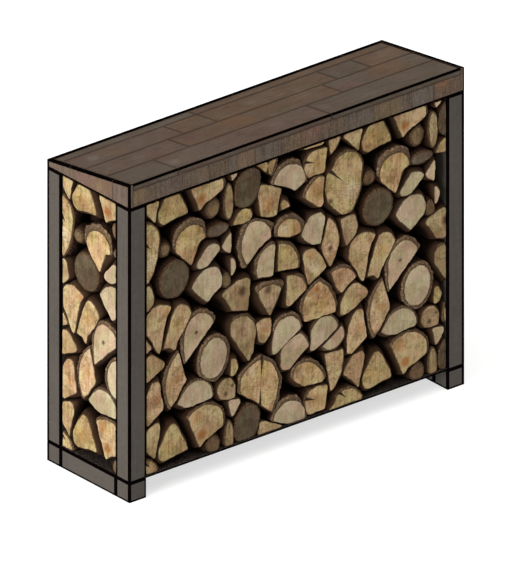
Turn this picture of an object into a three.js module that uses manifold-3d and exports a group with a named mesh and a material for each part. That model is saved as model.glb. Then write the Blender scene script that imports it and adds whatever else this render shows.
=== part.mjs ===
// A free-standing firewood rack, filled with split logs and roofed with weathered boards.
// Millimetres, +Z up. The front faces -Y, and the origin is on the ground under the rack's middle.

import * as THREE from "three";
import Module from "manifold-3d";

const wasm = await Module();
wasm.setup();

// Rack: four square posts on foot blocks, with a base rail between the two feet of each end
const LENGTH = 1200;
const DEPTH = 360;
const SECTION = 60;
const FOOT_HEIGHT = 60;
const POST_TOP = 900;

// Floor: a thin board over the base rails, carried between them by two bearers
const FLOOR_THICKNESS = 6;
const BEARER_WIDTH = 60;
const BEARER_HEIGHT = 30;
const BEARER_FROM_MIDDLE = 69;

// Roof: it falls to the back, with boards that run along the rack
const ROOF_FRONT = 975;
const ROOF_BACK = 925;
const DECK_THICKNESS = 20;
const DECK_SEAMS = [115, 210, 305];
const DECK_SEAM_WIDTH = 3;
const FASCIA_THICKNESS = 18;
const END_FASCIA_THICKNESS = 12;
const FIRRING_WIDTH = 40;
const FIRRING_MIDDLES = [-567, -189, 189, 567];

// Logs: how far bark fills the space round a log, how unevenly the ends line up, and how far the
// rim of a sawn end falls away towards the bark
const BARK_REACH = 14;
const SHARPEST_CORNER = 1.4;
const END_RECESS_LEAST = 1;
const END_RECESS_SPREAD = 8;
const RIM_WIDTH = 5;
const RIM_DEPTH = 9;
const ARC_STEP = THREE.MathUtils.degToRad(30);
const FLATTEST_CORNER = 4;
const SMALLEST_WIDTH = 12;
const SMALLEST_AREA = 500;
const PRESSED = 0.3;

// Clearance between pieces that rest on each other or lie side by side
const GAP = 0.3;

// The firewood comes in bundles of one width and height. The first bundle starts left of the rack
// and the last ends right of it, so the posts, the floor and the roof cut the outer logs short.
const BUNDLE_WIDTH = 730;
const BUNDLE_HEIGHT = 727;
const ROWS_PER_BUNDLE = 6;
const ROWS = 7;

// Where the right end's logs are taken from the bundle, so that the two ends differ
const RIGHT_END_SHIFT = 400;

const left = -LENGTH / 2;
const right = LENGTH / 2;
const front = -DEPTH / 2;
const back = DEPTH / 2;
const floorTop = FOOT_HEIGHT + FLOOR_THICKNESS;

// A split log is a list of corners, anticlockwise as seen from outside: across and up from the
// rack's outer corner at ground level. A third number makes the side after the corner a bark arc,
// and is the arc's height over its chord. Sides without one are flat split faces.
const split = (row, ...corners) => ({ row, corners });

// A round log has a centre, two radii and a turn in degrees.
const round = (row, across, up, halfWidth, halfHeight, turn = 0) =>
  ({ row, across, up, halfWidth, halfHeight, turn });

const BUNDLE = [
  round(1, 430, 118, 55, 62, -15),
  round(1, 1037, 83, 22, 27),
  round(1, 1092, 86, 15, 56),
  split(1, [518, 88], [597, 45], [634, 63, 0.53]),
  split(1, [645, 73], [706, 75], [712, 150], [655, 148, 0.22]),
  split(1, [880, 192], [838, 112], [853, 88], [942, 98], [905, 188]),
  split(1, [703, 243], [722, 113], [748, 132, 0.08], [770, 238]),
  split(1, [768, 160], [825, 103], [843, 190], [835, 217], [798, 208]),
  split(1, [986, 95], [1066, 128, 0.39], [940, 195]),
  split(1, [1103, 148], [1134, 190], [1128, 206], [1084, 204]),
  split(2, [380, 238], [512, 126, 0.7]),
  split(2, [582, 208], [625, 172], [690, 153], [713, 168, 0.42]),
  split(2, [547, 236], [580, 238], [649, 283, 0.15], [608, 337, 0.1], [550, 306]),
  split(2, [652, 264], [675, 265], [752, 309, 0.42], [654, 330]),
  split(2, [696, 273, 0.43], [770, 300], [762, 318]),
  split(2, [783, 215], [800, 212], [848, 250], [852, 300], [842, 343], [812, 338], [790, 300]),
  split(2, [912, 420, 0.22], [882, 242], [912, 262], [938, 316]),
  split(2, [905, 258], [935, 233], [1030, 230, 0.49]),
  split(2, [1047, 245], [1066, 210], [1112, 212], [1112, 250], [1092, 288], [1062, 276]),
  split(2, [1094, 275], [1112, 278], [1126, 300], [1112, 332], [1096, 332]),
  split(3, [362, 430], [431, 303], [447, 330, 0.3], [385, 453]),
  split(3, [456, 411], [466, 350], [500, 345], [511, 385], [508, 414]),
  split(3, [513, 292], [530, 292], [618, 347, 0.3], [530, 398], [514, 350]),
  split(3, [626, 354], [740, 358, 1.08]),
  split(3, [753, 372], [762, 342], [782, 345], [853, 385], [855, 398], [812, 438], [775, 412]),
  round(3, 1036, 352, 50, 62, -8),
  split(4, [716, 498], [768, 420], [812, 446, 0.3], [752, 511]),
  split(4, [503, 422], [547, 492, 0.2], [463, 510]),
  split(4, [563, 432], [578, 430], [640, 466, 0.1], [627, 512, 0.1], [578, 538], [562, 528]),
  split(4, [937, 367], [1046, 462, 0.61]),
  split(4, [1066, 548], [1080, 505], [1102, 472], [1160, 463], [1167, 567], [1115, 573], [1075, 560]),
  split(4, [622, 575], [644, 470], [712, 506], [680, 572], [652, 585]),
  split(4, [786, 505], [818, 455], [838, 420], [850, 440],
    [866, 510], [890, 560], [840, 585], [798, 565]),
  split(4, [853, 440], [895, 412], [905, 440], [945, 497],
    [960, 515], [935, 553], [905, 561], [880, 540]),
  split(5, [461, 560], [467, 547], [521, 540], [524, 640, 0.2]),
  split(5, [533, 549], [606, 533, 0.28], [535, 641]),
  split(5, [727, 504], [757, 575, 0.1], [712, 662], [693, 588]),
  split(5, [755, 648], [778, 545], [818, 588], [806, 650]),
  split(5, [621, 635], [648, 600], [693, 580], [706, 660], [700, 680, 0.2], [668, 687]),
  round(5, 1078, 583, 17, 24),
  round(5, 371, 612, 14, 30),
  split(5, [957, 590], [1010, 528], [1064, 565], [1066, 600], [1050, 628], [1010, 641], [988, 630]),
  round(5, 897, 637, 50, 52),
  split(5, [424, 590], [511, 655, 0.95]),
  split(5, [524, 652], [570, 640], [620, 641, 0.65]),
  split(6, [968, 660], [988, 640], [1010, 640], [1055, 682], [1040, 706], [1003, 702]),
  split(6, [1058, 688], [1094, 656], [1100, 690], [1097, 730], [1080, 712]),
  split(6, [512, 712], [533, 715], [543, 755], [555, 803],
    [520, 815], [478, 838], [463, 800], [462, 735]),
  split(6, [543, 730], [582, 730], [578, 745], [556, 764], [545, 755]),
  split(6, [376, 742], [425, 733], [442, 748], [432, 775], [402, 784]),
  split(6, [610, 752], [655, 717], [688, 698], [699, 720], [702, 792], [680, 800, 0.12]),
  split(6, [703, 780], [716, 698], [756, 664], [764, 737], [733, 797]),
  split(6, [737, 812], [770, 738], [762, 660, 0.545]),
  split(6, [958, 660], [1012, 725, 0.72], [893, 722]),
  round(6, 1052, 738, 38, 18),
  round(6, 862, 735, 16, 16),
];

// Materials

const paintedTimber = new THREE.MeshStandardMaterial({ color: 0x5b564e, roughness: 0.6 });
const weatheredBoard = new THREE.MeshStandardMaterial({ color: 0x9c8a76, roughness: 0.85 });
const logWood = [0xd9b77c, 0xc9a36b, 0xe0c48f].map(
  (color) => new THREE.MeshStandardMaterial({ color, roughness: 0.8 }));

const group = new THREE.Group();

function addMesh(name, geometry, material) {
  const mesh = new THREE.Mesh(geometry, material);
  mesh.name = name;
  group.add(mesh);
  return mesh;
}

function addBox(name, [x0, x1], [y0, y1], [z0, z1], material) {
  const mesh = addMesh(name, new THREE.BoxGeometry(x1 - x0, y1 - y0, z1 - z0), material);
  mesh.position.set((x0 + x1) / 2, (y0 + y1) / 2, (z0 + z1) / 2);
}

const outlineShape = (points) => new THREE.Shape(points.map(([x, y]) => new THREE.Vector2(x, y)));

// A profile in the Y-Z plane, run along the rack from x0 to x1
function addAlongRack(name, profile, x0, x1, material) {
  const geometry = new THREE.ExtrudeGeometry(outlineShape(profile), { depth: x1 - x0, bevelEnabled: false });
  const axes = [new THREE.Vector3(0, 1, 0), new THREE.Vector3(0, 0, 1), new THREE.Vector3(1, 0, 0)];
  geometry.applyMatrix4(new THREE.Matrix4().makeBasis(...axes));
  addMesh(name, geometry, material).position.x = x0;
}

// Frame

function addFrame() {
  const ends = { left: [left, left + SECTION], right: [right - SECTION, right] };
  const sides = { front: [front, front + SECTION], back: [back - SECTION, back] };
  for (const [end, across] of Object.entries(ends)) {
    for (const [side, along] of Object.entries(sides)) {
      addBox(`foot_${side}_${end}`, across, along, [0, FOOT_HEIGHT], paintedTimber);
      addBox(`post_${side}_${end}`, across, along, [FOOT_HEIGHT, POST_TOP], paintedTimber);
    }
    addBox(`base_rail_${end}`, across, [front + SECTION, back - SECTION], [0, FOOT_HEIGHT], paintedTimber);
  }
}

function addFloor() {
  for (const [name, middle] of [["front", -BEARER_FROM_MIDDLE], ["back", BEARER_FROM_MIDDLE]]) {
    addBox(`bearer_${name}`, [left + SECTION, right - SECTION],
      [middle - BEARER_WIDTH / 2, middle + BEARER_WIDTH / 2],
      [FOOT_HEIGHT - BEARER_HEIGHT, FOOT_HEIGHT], paintedTimber);
  }
  const [innerX, innerY] = [right - SECTION, back - SECTION];
  const notched = new THREE.ExtrudeGeometry(outlineShape([
    [-innerX, front], [innerX, front], [innerX, -innerY], [right, -innerY],
    [right, innerY], [innerX, innerY], [innerX, back], [-innerX, back],
    [-innerX, innerY], [left, innerY], [left, -innerY], [-innerX, -innerY],
  ]), { depth: FLOOR_THICKNESS, bevelEnabled: false });
  addMesh("floor_board", notched, paintedTimber).position.z = FOOT_HEIGHT;
}

// Roof

const roofTop = (y) => ROOF_FRONT + (ROOF_BACK - ROOF_FRONT) * (y - front) / DEPTH;
const underDeck = (y) => roofTop(y) - DECK_THICKNESS;

// A piece between two heights across the slope, each height a function of y
const slopedProfile = (y0, y1, bottom, top) =>
  [[y0, bottom(y0)], [y1, bottom(y1)], [y1, top(y1)], [y0, top(y0)]];

function addRoof() {
  const onPosts = () => POST_TOP;
  const belowDeck = (y) => underDeck(y) - GAP;
  const [deckLeft, deckRight] = [left + END_FASCIA_THICKNESS + GAP, right - END_FASCIA_THICKNESS - GAP];
  const [behindFront, beforeBack] = [front + FASCIA_THICKNESS, back - FASCIA_THICKNESS];

  const endProfile = slopedProfile(front, back, onPosts, roofTop);
  addAlongRack("fascia_left", endProfile, left, left + END_FASCIA_THICKNESS, weatheredBoard);
  addAlongRack("fascia_right", endProfile, right - END_FASCIA_THICKNESS, right, weatheredBoard);
  addAlongRack("fascia_front", slopedProfile(front, behindFront, onPosts, belowDeck),
    deckLeft, deckRight, weatheredBoard);
  addAlongRack("fascia_back", slopedProfile(beforeBack, back, onPosts, roofTop),
    deckLeft, deckRight, weatheredBoard);

  FIRRING_MIDDLES.forEach((x, k) => {
    const profile = slopedProfile(behindFront + GAP, beforeBack - GAP, onPosts, belowDeck);
    addAlongRack(`firring_${k + 1}`, profile, x - FIRRING_WIDTH / 2, x + FIRRING_WIDTH / 2, weatheredBoard);
  });

  const seams = DECK_SEAMS.map((t) => front + t);
  const starts = [front, ...seams.map((y) => y + DECK_SEAM_WIDTH / 2)];
  const stops = [...seams.map((y) => y - DECK_SEAM_WIDTH / 2), beforeBack - GAP];
  starts.forEach((y0, k) => {
    addAlongRack(`deck_board_${k + 1}`, slopedProfile(y0, stops[k], underDeck, roofTop),
      deckLeft, deckRight, weatheredBoard);
  });
}

// Log outlines

// Points after p and before q on an arc that stands bulge times the chord outside the line p-q
function arcPoints(p, q, bulge) {
  const chord = Math.hypot(q[0] - p[0], q[1] - p[1]);
  const height = bulge * chord;
  const radius = (chord * chord / 4 + height * height) / (2 * height);
  const [outX, outY] = [(q[1] - p[1]) / chord, (p[0] - q[0]) / chord];
  const inwards = radius - height;
  const centre = [(p[0] + q[0]) / 2 - outX * inwards, (p[1] + q[1]) / 2 - outY * inwards];
  const halfTurn = Math.acos(inwards / radius);
  const count = Math.max(2, Math.ceil(2 * halfTurn / ARC_STEP));
  const start = Math.atan2(p[1] - centre[1], p[0] - centre[0]);
  return Array.from({ length: count - 1 }, (_, k) => {
    const angle = start + 2 * halfTurn * (k + 1) / count;
    return [centre[0] + radius * Math.cos(angle), centre[1] + radius * Math.sin(angle)];
  });
}

function logOutline(log) {
  if (log.corners) {
    return log.corners.flatMap((corner, k) => {
      const next = log.corners[(k + 1) % log.corners.length];
      return corner[2] ? [corner, ...arcPoints(corner, next, corner[2])] : [corner];
    }).map(([x, y]) => [x, y]);
  }
  const turn = THREE.MathUtils.degToRad(log.turn);
  const count = Math.ceil(2 * Math.PI / ARC_STEP);
  return Array.from({ length: count }, (_, k) => {
    const angle = 2 * Math.PI * k / count;
    const [x, y] = [log.halfWidth * Math.cos(angle), log.halfHeight * Math.sin(angle)];
    return [
      log.across + x * Math.cos(turn) - y * Math.sin(turn),
      log.up + x * Math.sin(turn) + y * Math.cos(turn),
    ];
  });
}

const sides = (outline) => outline.map((q, k) => {
  const p = outline.at(k - 1);
  const length = Math.hypot(q[0] - p[0], q[1] - p[1]);
  return [(q[1] - p[1]) / length, (p[0] - q[0]) / length];
});

// The outline moved outwards by reach, with its sharpest corners held back
function grown(outline, reach) {
  const normals = sides(outline);
  return outline.map(([x, y], k) => {
    const [before, after] = [normals[k], normals[(k + 1) % outline.length]];
    const sum = [before[0] + after[0], before[1] + after[1]];
    const mitre = 1 / (1 + Math.max(-0.5, before[0] * after[0] + before[1] * after[1]));
    const scale = reach * Math.min(mitre, SHARPEST_CORNER / Math.hypot(...sum));
    return [x + sum[0] * scale, y + sum[1] * scale];
  });
}

// What is left of the outline on the near side of a line: its normal, and the line's distance
function cutBy(outline, [nx, ny], distance) {
  const height = ([x, y]) => nx * x + ny * y - distance;
  return outline.flatMap((q, k) => {
    const p = outline.at(k - 1);
    const [hp, hq] = [height(p), height(q)];
    const kept = hq <= 0 ? [q] : [];
    if ((hp <= 0) === (hq <= 0)) return kept;
    const part = hp / (hp - hq);
    return [[p[0] + part * (q[0] - p[0]), p[1] + part * (q[1] - p[1])], ...kept];
  });
}

// The outline without corners that hardly stand out from the line between their neighbours
function simplified(outline) {
  const kept = [...outline];
  for (let k = kept.length - 1; k >= 0 && kept.length > 3; k -= 1) {
    const [p, q, r] = [kept.at(k - 1), kept[k], kept[(k + 1) % kept.length]];
    const length = Math.hypot(r[0] - p[0], r[1] - p[1]);
    const out = ((q[0] - p[0]) * (r[1] - p[1]) - (q[1] - p[1]) * (r[0] - p[0])) / length;
    if (out >= 0 && out < FLATTEST_CORNER) kept.splice(k, 1);
  }
  return kept;
}

// The line midway between two outlines, from the side of either that parts them best
function lineBetween(one, other) {
  const candidates = [...sides(one), ...sides(other).map(([x, y]) => [-x, -y])];
  let best = { apart: -Infinity };
  for (const normal of candidates) {
    const along = ([x, y]) => normal[0] * x + normal[1] * y;
    const nearest = Math.min(...other.map(along));
    const furthest = Math.max(...one.map(along));
    if (nearest - furthest > best.apart) {
      best = { apart: nearest - furthest, normal, middle: (nearest + furthest) / 2 };
    }
  }
  return best;
}

function extent(outline, axis) {
  const values = outline.map((point) => point[axis]);
  return [Math.min(...values), Math.max(...values)];
}

const area = (outline) => outline.reduce((sum, q, k) => {
  const p = outline.at(k - 1);
  return sum + (p[0] * q[1] - p[1] * q[0]) / 2;
}, 0);

// Every copy of a log that reaches into the opening, at its place
function logsInside(opening, shift, rowsJoined) {
  const copies = [];
  for (const log of BUNDLE) {
    for (let across = -2; across <= 1; across += 1) {
      for (let up = -1; up <= 1; up += 1) {
        const outline = logOutline(log).map(([x, y]) =>
          [x + across * BUNDLE_WIDTH - shift, y + up * BUNDLE_HEIGHT]);
        const [x0, x1] = extent(outline, 0);
        const [y0, y1] = extent(outline, 1);
        if (x1 > opening.x[0] && x0 < opening.x[1] && y1 > opening.y[0] && y0 < opening.y[1]) {
          const row = THREE.MathUtils.clamp(log.row + up * ROWS_PER_BUNDLE, 1, ROWS);
          copies.push({ row: Math.ceil(row / rowsJoined), outline });
        }
      }
    }
  }
  return copies;
}

// The stack in an opening. Bark reaches as far as the middle of the space between two logs. Logs of
// different rows keep clear of each other there, and logs of one row are pressed together.
function stackedLogs(opening, { shift = 0, rowsJoined = 1 } = {}) {
  const logs = logsInside(opening, shift, rowsJoined);
  const stacked = logs.map((log) => {
    let outline = grown(log.outline, BARK_REACH);
    for (const other of logs) {
      if (other === log) continue;
      const line = lineBetween(log.outline, other.outline);
      const beyond = other.row === log.row ? PRESSED : -GAP / 2;
      if (line.apart > 2 * SHARPEST_CORNER * BARK_REACH) continue;
      outline = cutBy(outline, line.normal, line.middle + beyond);
    }
    outline = cutBy(outline, [1, 0], opening.x[1]);
    outline = cutBy(outline, [-1, 0], -opening.x[0]);
    outline = cutBy(outline, [0, 1], opening.y[1]);
    outline = cutBy(outline, [0, -1], -opening.y[0]);
    return { row: log.row, outline: simplified(outline) };
  });
  return stacked.filter(({ outline }) => {
    if (outline.length < 3) return false;
    const spans = [0, 1].map((axis) => extent(outline, axis)).map(([low, high]) => high - low);
    return Math.min(...spans) >= SMALLEST_WIDTH && area(outline) >= SMALLEST_AREA;
  });
}

// Log solids

// A number from 0 to 1 that looks random and is always the same for the same count
function scatter(count) {
  const wide = Math.sin(count * 12.9898) * 43758.5453;
  return wide - Math.floor(wide);
}

// A solid through sections that all have the same number of points, each an outline and its depth
function loftThrough(sections) {
  const count = sections[0].outline.length;
  const cap = THREE.ShapeUtils.triangulateShape(
    sections[0].outline.map(([x, y]) => new THREE.Vector2(x, y)), []);
  const vertices = sections.flatMap(({ outline, depth }) => outline.flatMap(([x, y]) => [x, y, depth]));
  const lastSection = count * (sections.length - 1);
  const triangles = cap.flatMap(([a, b, c]) => [a, c, b, lastSection + a, lastSection + b, lastSection + c]);
  for (let start = 0; start < lastSection; start += count) {
    for (let k = 0; k < count; k += 1) {
      const [a, b] = [start + k, start + (k + 1) % count];
      triangles.push(a, b, b + count, a, b + count, a + count);
    }
  }
  return new wasm.Manifold(new wasm.Mesh({
    numProp: 3,
    vertProperties: new Float32Array(vertices),
    triVerts: new Uint32Array(triangles),
  }));
}

function toGeometry(manifold) {
  const { vertProperties, triVerts } = manifold.getMesh();
  const geometry = new THREE.BufferGeometry();
  geometry.setAttribute("position", new THREE.BufferAttribute(vertProperties, 3));
  geometry.setIndex(new THREE.BufferAttribute(triVerts, 1));
  return geometry;
}

// The outline drawn in towards its middle, for the rim round a sawn end
function rimOutline(outline) {
  const middle = [0, 1].map((axis) => outline.reduce((sum, point) => sum + point[axis], 0) / outline.length);
  const radius = Math.sqrt(area(outline) / Math.PI);
  const scale = 1 - RIM_WIDTH / radius;
  return outline.map(([x, y]) => [middle[0] + (x - middle[0]) * scale, middle[1] + (y - middle[1]) * scale]);
}

// A log lies from its far or hidden end, at depth 0, out to the face that the outline is drawn on
function logSolid(outline, depth, count) {
  const near = depth - END_RECESS_LEAST - END_RECESS_SPREAD * scatter(count);
  const far = END_RECESS_LEAST + END_RECESS_SPREAD * scatter(count + 0.5);
  const rim = rimOutline(outline);
  const farSections = depth === DEPTH
    ? [{ outline: rim, depth: far }, { outline, depth: far + RIM_DEPTH }]
    : [{ outline, depth: 0 }];
  const nearSections = [{ outline, depth: near - RIM_DEPTH }, { outline: rim, depth: near }];
  return loftThrough([...farSections, ...nearSections]);
}

const letter = (k) => String.fromCharCode("a".charCodeAt(0) + k);

// Joins the logs of each row that touch, and adds each joined run as one piece
function addRows(name, logs, depth, axes, origin) {
  const placing = new THREE.Matrix4().makeBasis(...axes.map((axis) => new THREE.Vector3(...axis)));
  placing.setPosition(...origin);
  for (let row = 1; row <= ROWS; row += 1) {
    const solids = logs.map((log, k) => ({ log, count: k + 1 }))
      .filter(({ log }) => log.row === row)
      .map(({ log, count }) => logSolid(log.outline, depth, count));
    if (solids.length === 0) continue;
    const runs = wasm.Manifold.union(solids).decompose();
    runs.sort((one, other) => one.boundingBox().min[0] - other.boundingBox().min[0]);
    runs.forEach((run, k) => {
      const geometry = toGeometry(run).applyMatrix4(placing);
      addMesh(`${name}_row_${row}${letter(k)}`, geometry, logWood[(row + k) % logWood.length]);
    });
  }
}

function addFirewood() {
  const up = [floorTop + GAP, POST_TOP - GAP];
  const upright = [0, 0, 1];

  // Long logs lie front to back between the posts, and both their ends show
  const betweenPosts = { x: [SECTION + GAP, LENGTH - SECTION - GAP], y: up };
  addRows("logs", stackedLogs(betweenPosts), DEPTH, [[1, 0, 0], upright, [0, -1, 0]], [left, back, 0]);

  // Short offcuts fill the end frames, over the base rails
  const endFrame = { x: [SECTION + GAP, DEPTH - SECTION - GAP], y: up };
  const thickness = SECTION - GAP;
  addRows("left_end", stackedLogs(endFrame, { rowsJoined: 2 }), thickness,
    [[0, -1, 0], upright, [-1, 0, 0]], [left + thickness, back, 0]);
  addRows("right_end", stackedLogs(endFrame, { rowsJoined: 2, shift: RIGHT_END_SHIFT }), thickness,
    [[0, 1, 0], upright, [1, 0, 0]], [right - thickness, front, 0]);
}

addFrame();
addFloor();
addRoof();
addFirewood();

export default group;
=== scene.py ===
"""A free-standing firewood rack, filled with split logs and roofed with weathered boards.

Sizes are in millimetres until a mesh is made. +Z is up, the front faces -Y, and the origin is on
the ground under the rack's middle.
"""

import math

import bmesh
import bpy
from mathutils import Matrix, Vector, noise


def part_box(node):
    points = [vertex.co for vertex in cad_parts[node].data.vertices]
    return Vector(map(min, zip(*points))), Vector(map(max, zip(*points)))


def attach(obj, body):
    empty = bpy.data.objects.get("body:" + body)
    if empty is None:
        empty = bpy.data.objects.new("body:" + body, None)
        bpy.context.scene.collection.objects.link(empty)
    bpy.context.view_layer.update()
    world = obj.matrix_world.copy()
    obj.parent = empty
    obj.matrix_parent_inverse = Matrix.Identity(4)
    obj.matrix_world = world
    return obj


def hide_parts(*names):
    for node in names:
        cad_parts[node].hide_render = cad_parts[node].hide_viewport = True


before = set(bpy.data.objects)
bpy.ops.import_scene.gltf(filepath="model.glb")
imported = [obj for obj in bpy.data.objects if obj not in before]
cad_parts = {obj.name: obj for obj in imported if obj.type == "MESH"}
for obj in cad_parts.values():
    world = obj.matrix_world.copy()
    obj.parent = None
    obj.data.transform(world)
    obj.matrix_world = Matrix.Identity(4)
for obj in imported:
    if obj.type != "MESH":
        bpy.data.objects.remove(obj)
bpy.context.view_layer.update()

MM = 0.001

# Rack
LENGTH = 1200
DEPTH = 360
SECTION = 60
FOOT_HEIGHT = 60
POST_TOP = 900
LEFT, RIGHT = -LENGTH / 2, LENGTH / 2
FRONT, BACK = -DEPTH / 2, DEPTH / 2

# Floor
FLOOR_THICKNESS = 6
BEARER_WIDTH = 60
BEARER_HEIGHT = 30
BEARER_FROM_MIDDLE = 69

# Roof
ROOF_FRONT = 975
ROOF_BACK = 925
DECK_THICKNESS = 20
FASCIA_THICKNESS = 18
END_FASCIA_THICKNESS = 12
FIRRING_WIDTH = 40
FIRRING_MIDDLES = [-567, -189, 189, 567]

# The deck's rows of boards, from front to back: where each starts and ends across the slope, the
# butt joints along it from the left end, and the finish of each board
DECK_ROWS = [
    (0, 114.6, [176, 725], ["roof_grey", "roof_pink", "roof_grey"]),
    (115.4, 209.6, [310, 860], ["roof_pink", "roof_brown", "roof_grey"]),
    (210.4, 304.6, [370, 490, 920, 1040],
     ["roof_pink", "roof_brown", "roof_brown", "roof_grey", "roof_brown"]),
    (305.4, 341.7, [490], ["roof_grey", "roof_brown"]),
]
# Stains on the deck: colour, place from the left end and from the front, and radius
DECK_STAINS = [
    ("614d39", 160, 250, 32),
    ("6b5d51", 85, 262, 16),
    ("684a30", 522, 170, 45),
    ("634831", 1060, 170, 62),
    ("62473f", 350, 178, 28),
    ("60443d", 212, 150, 24),
    ("62473f", 900, 150, 34),
    ("6b5d51", 205, 55, 18),
    ("66534b", 572, 60, 26),
    ("6b5d51", 745, 60, 18),
    ("6a5c50", 1108, 60, 22),
    ("6a5c50", 640, 260, 20),
    ("634b35", 505, 255, 30),
]
# Stains on the front fascia: colour, place from the left end and up, and radius
FRONT_STAINS = [
    ("675338", 30, 935, 24),
    ("64503e", 420, 930, 40),
    ("684b41", 668, 948, 30),
    ("605238", 950, 925, 26),
    ("564e46", 1040, 930, 30),
    ("6e4c31", 1125, 952, 22),
]
# Stains on the left fascia: colour, place from the front and up, and radius
END_STAINS = [
    ("69553a", 132, 928, 14),
    ("5e463c", 205, 925, 30),
]

# The fascias' upright boards: the joints along each, and the finish of each board
FRONT_JOINTS = [95, 190, 285, 355, 450, 545, 615, 690, 785, 875, 935, 1010, 1090]
FRONT_FINISHES = ["ash", "pink", "ash", "brown", "grey", "grey", "ochre", "rust", "brown", "grey",
                  "ochre", "ash", "grey", "rust"]
END_JOINTS = [75, 260]
END_FINISHES = ["pink", "rust", "ash"]
BACK_JOINTS = [140, 260, 410, 520, 655, 790, 900, 1050]
BACK_FINISHES = ["brown", "ash", "pink", "grey", "ash", "brown", "ash", "ochre", "grey"]

# Clearance between pieces and round the firewood. The last two lie on each side of a joint.
GAP = 0.3
STACK_GAP = 3.6
DECK_GAP = 0.35
FASCIA_GAP = 0.2

# Timbers: how much an arris is rounded and how sharp it has to be for that, the width of its dark
# edge along each axis and at the rack's right and back, the most of a narrow side that such an edge
# takes, and how far dirt reaches in
ARRIS = 1.2
FLOOR_ARRIS = 0.8
SHARP_ANGLE = 0.8
EDGE_WIDTHS = [6.2, 7.6, 6]
OUTER_EDGE_WIDTH = 9.5
EDGE_MOST = 0.46
OUTER_EDGE_MOST = 0.5
DIRT_WIDTH = 12

# Logs: the space round a log that it may swell into, and the smallest piece of a log that is made
BARK_REACH = 14
BARK_ROOM = 2
SHARPEST_CORNER = 1.4
SMALLEST_WIDTH = 12
SMALLEST_AREA = 500

# Outlines: the steps of an arc and of a log's mesh, bark, and how unevenly wood and bark run. A
# wobble is how long its waves are and how high.
ARC_STEP = math.radians(15)
POINT_SPACING = 5.5
FEWEST_POINTS = 20
BARK_THICKNESS = 5
THICK_BARK = 12
SPLIT_EDGE = 1
BROAD_WOBBLE = (24, 2.4)
FINE_WOBBLE = (9, 1.8)
WOBBLE_MIDDLE = 0.4
RAGGED_BARK = 0.45

# Sawn ends: how unevenly they line up, how far back the cap, its rim, the bark and a split side lie,
# the rings of points on the cap, and cracks, with how strongly painted shade darkens them
END_RECESS_LEAST = 0.6
END_RECESS_SPREAD = 3.4
CAP_DEPTH = 0.9
CAP_WAVES = (23, 0.9)
RIM_DEPTH = 1.6
BARK_DEPTH = 2.6
SPLIT_DEPTH = 2.2
CAP_RINGS = [0.25, 0.5, 0.7, 0.84, 0.93, 0.98]
CRACK_DEPTH = 7
CRACK_FLARE = 0.13
CRACK_SHADE = 4

# Sides: how far behind the rim a log has swollen by how much, how deep its hollows are, and how far
# off the pith lies of a log without bark
SWELLING = [(3, 0.3), (7, 0.6), (13, 0.85), (22, 1)]
SWELLING_START = 2.4
HOLLOW_DEPTH = 1.5
FAR_PITH = 75

# The most stains on one piece, and how strongly they show
MOST_MARKS = 2
MARK_STRENGTH = 0.9

# The firewood comes in bundles of one width and height, as on the solids that the logs stand for
BUNDLE_WIDTH = 730
BUNDLE_HEIGHT = 727
ROWS_PER_BUNDLE = 6
ROWS = 7
RIGHT_END_SHIFT = 400

# Wood tones of the sawn ends, with how much the grain and dirt show on each, and the marks' colours
TONES = {
    "white": ("b2ac98", 0.7),
    "cream": ("b5ab96", 0.7),
    "tan": ("b7aa8a", 0.95),
    "golden": ("c0b08c", 1),
    "yellow": ("b0a57f", 1),
    "pink": ("bdad8f", 1),
    "dun": ("a59b7e", 1),
    "dusk": ("74654c", 1),
    "smoke": ("6c655f", 1),
    "grey": ("5c5444", 1),
}
ORANGE = "9a632c"
AMBER = "b28c5c"
GOLD = "b1965f"
CREAM = "bcab8b"
PINK = "af9478"
YELLOW = "b8a66b"
DARK_HEART = "523c20"


def split(row, tone, *corners, bark=BARK_THICKNESS, marks=(), cracks=()):
    """A split log: its corners, across and up, anticlockwise as seen from outside. A third number
    makes the side after the corner a bark arc, and is the arc's height over its chord. A mark is its
    colour, place and radius; a crack is its direction from the log's middle, in degrees."""
    return {"row": row, "tone": tone, "corners": corners, "bark": bark, "marks": marks, "cracks": cracks}


def round_log(row, tone, across, up, half_width, half_height, turn=0, bark=BARK_THICKNESS):
    """A log in the round: its centre, two radii and a turn in degrees."""
    return {"row": row, "tone": tone, "ellipse": (across, up, half_width, half_height, turn),
            "bark": bark, "marks": (), "cracks": ()}


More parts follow.
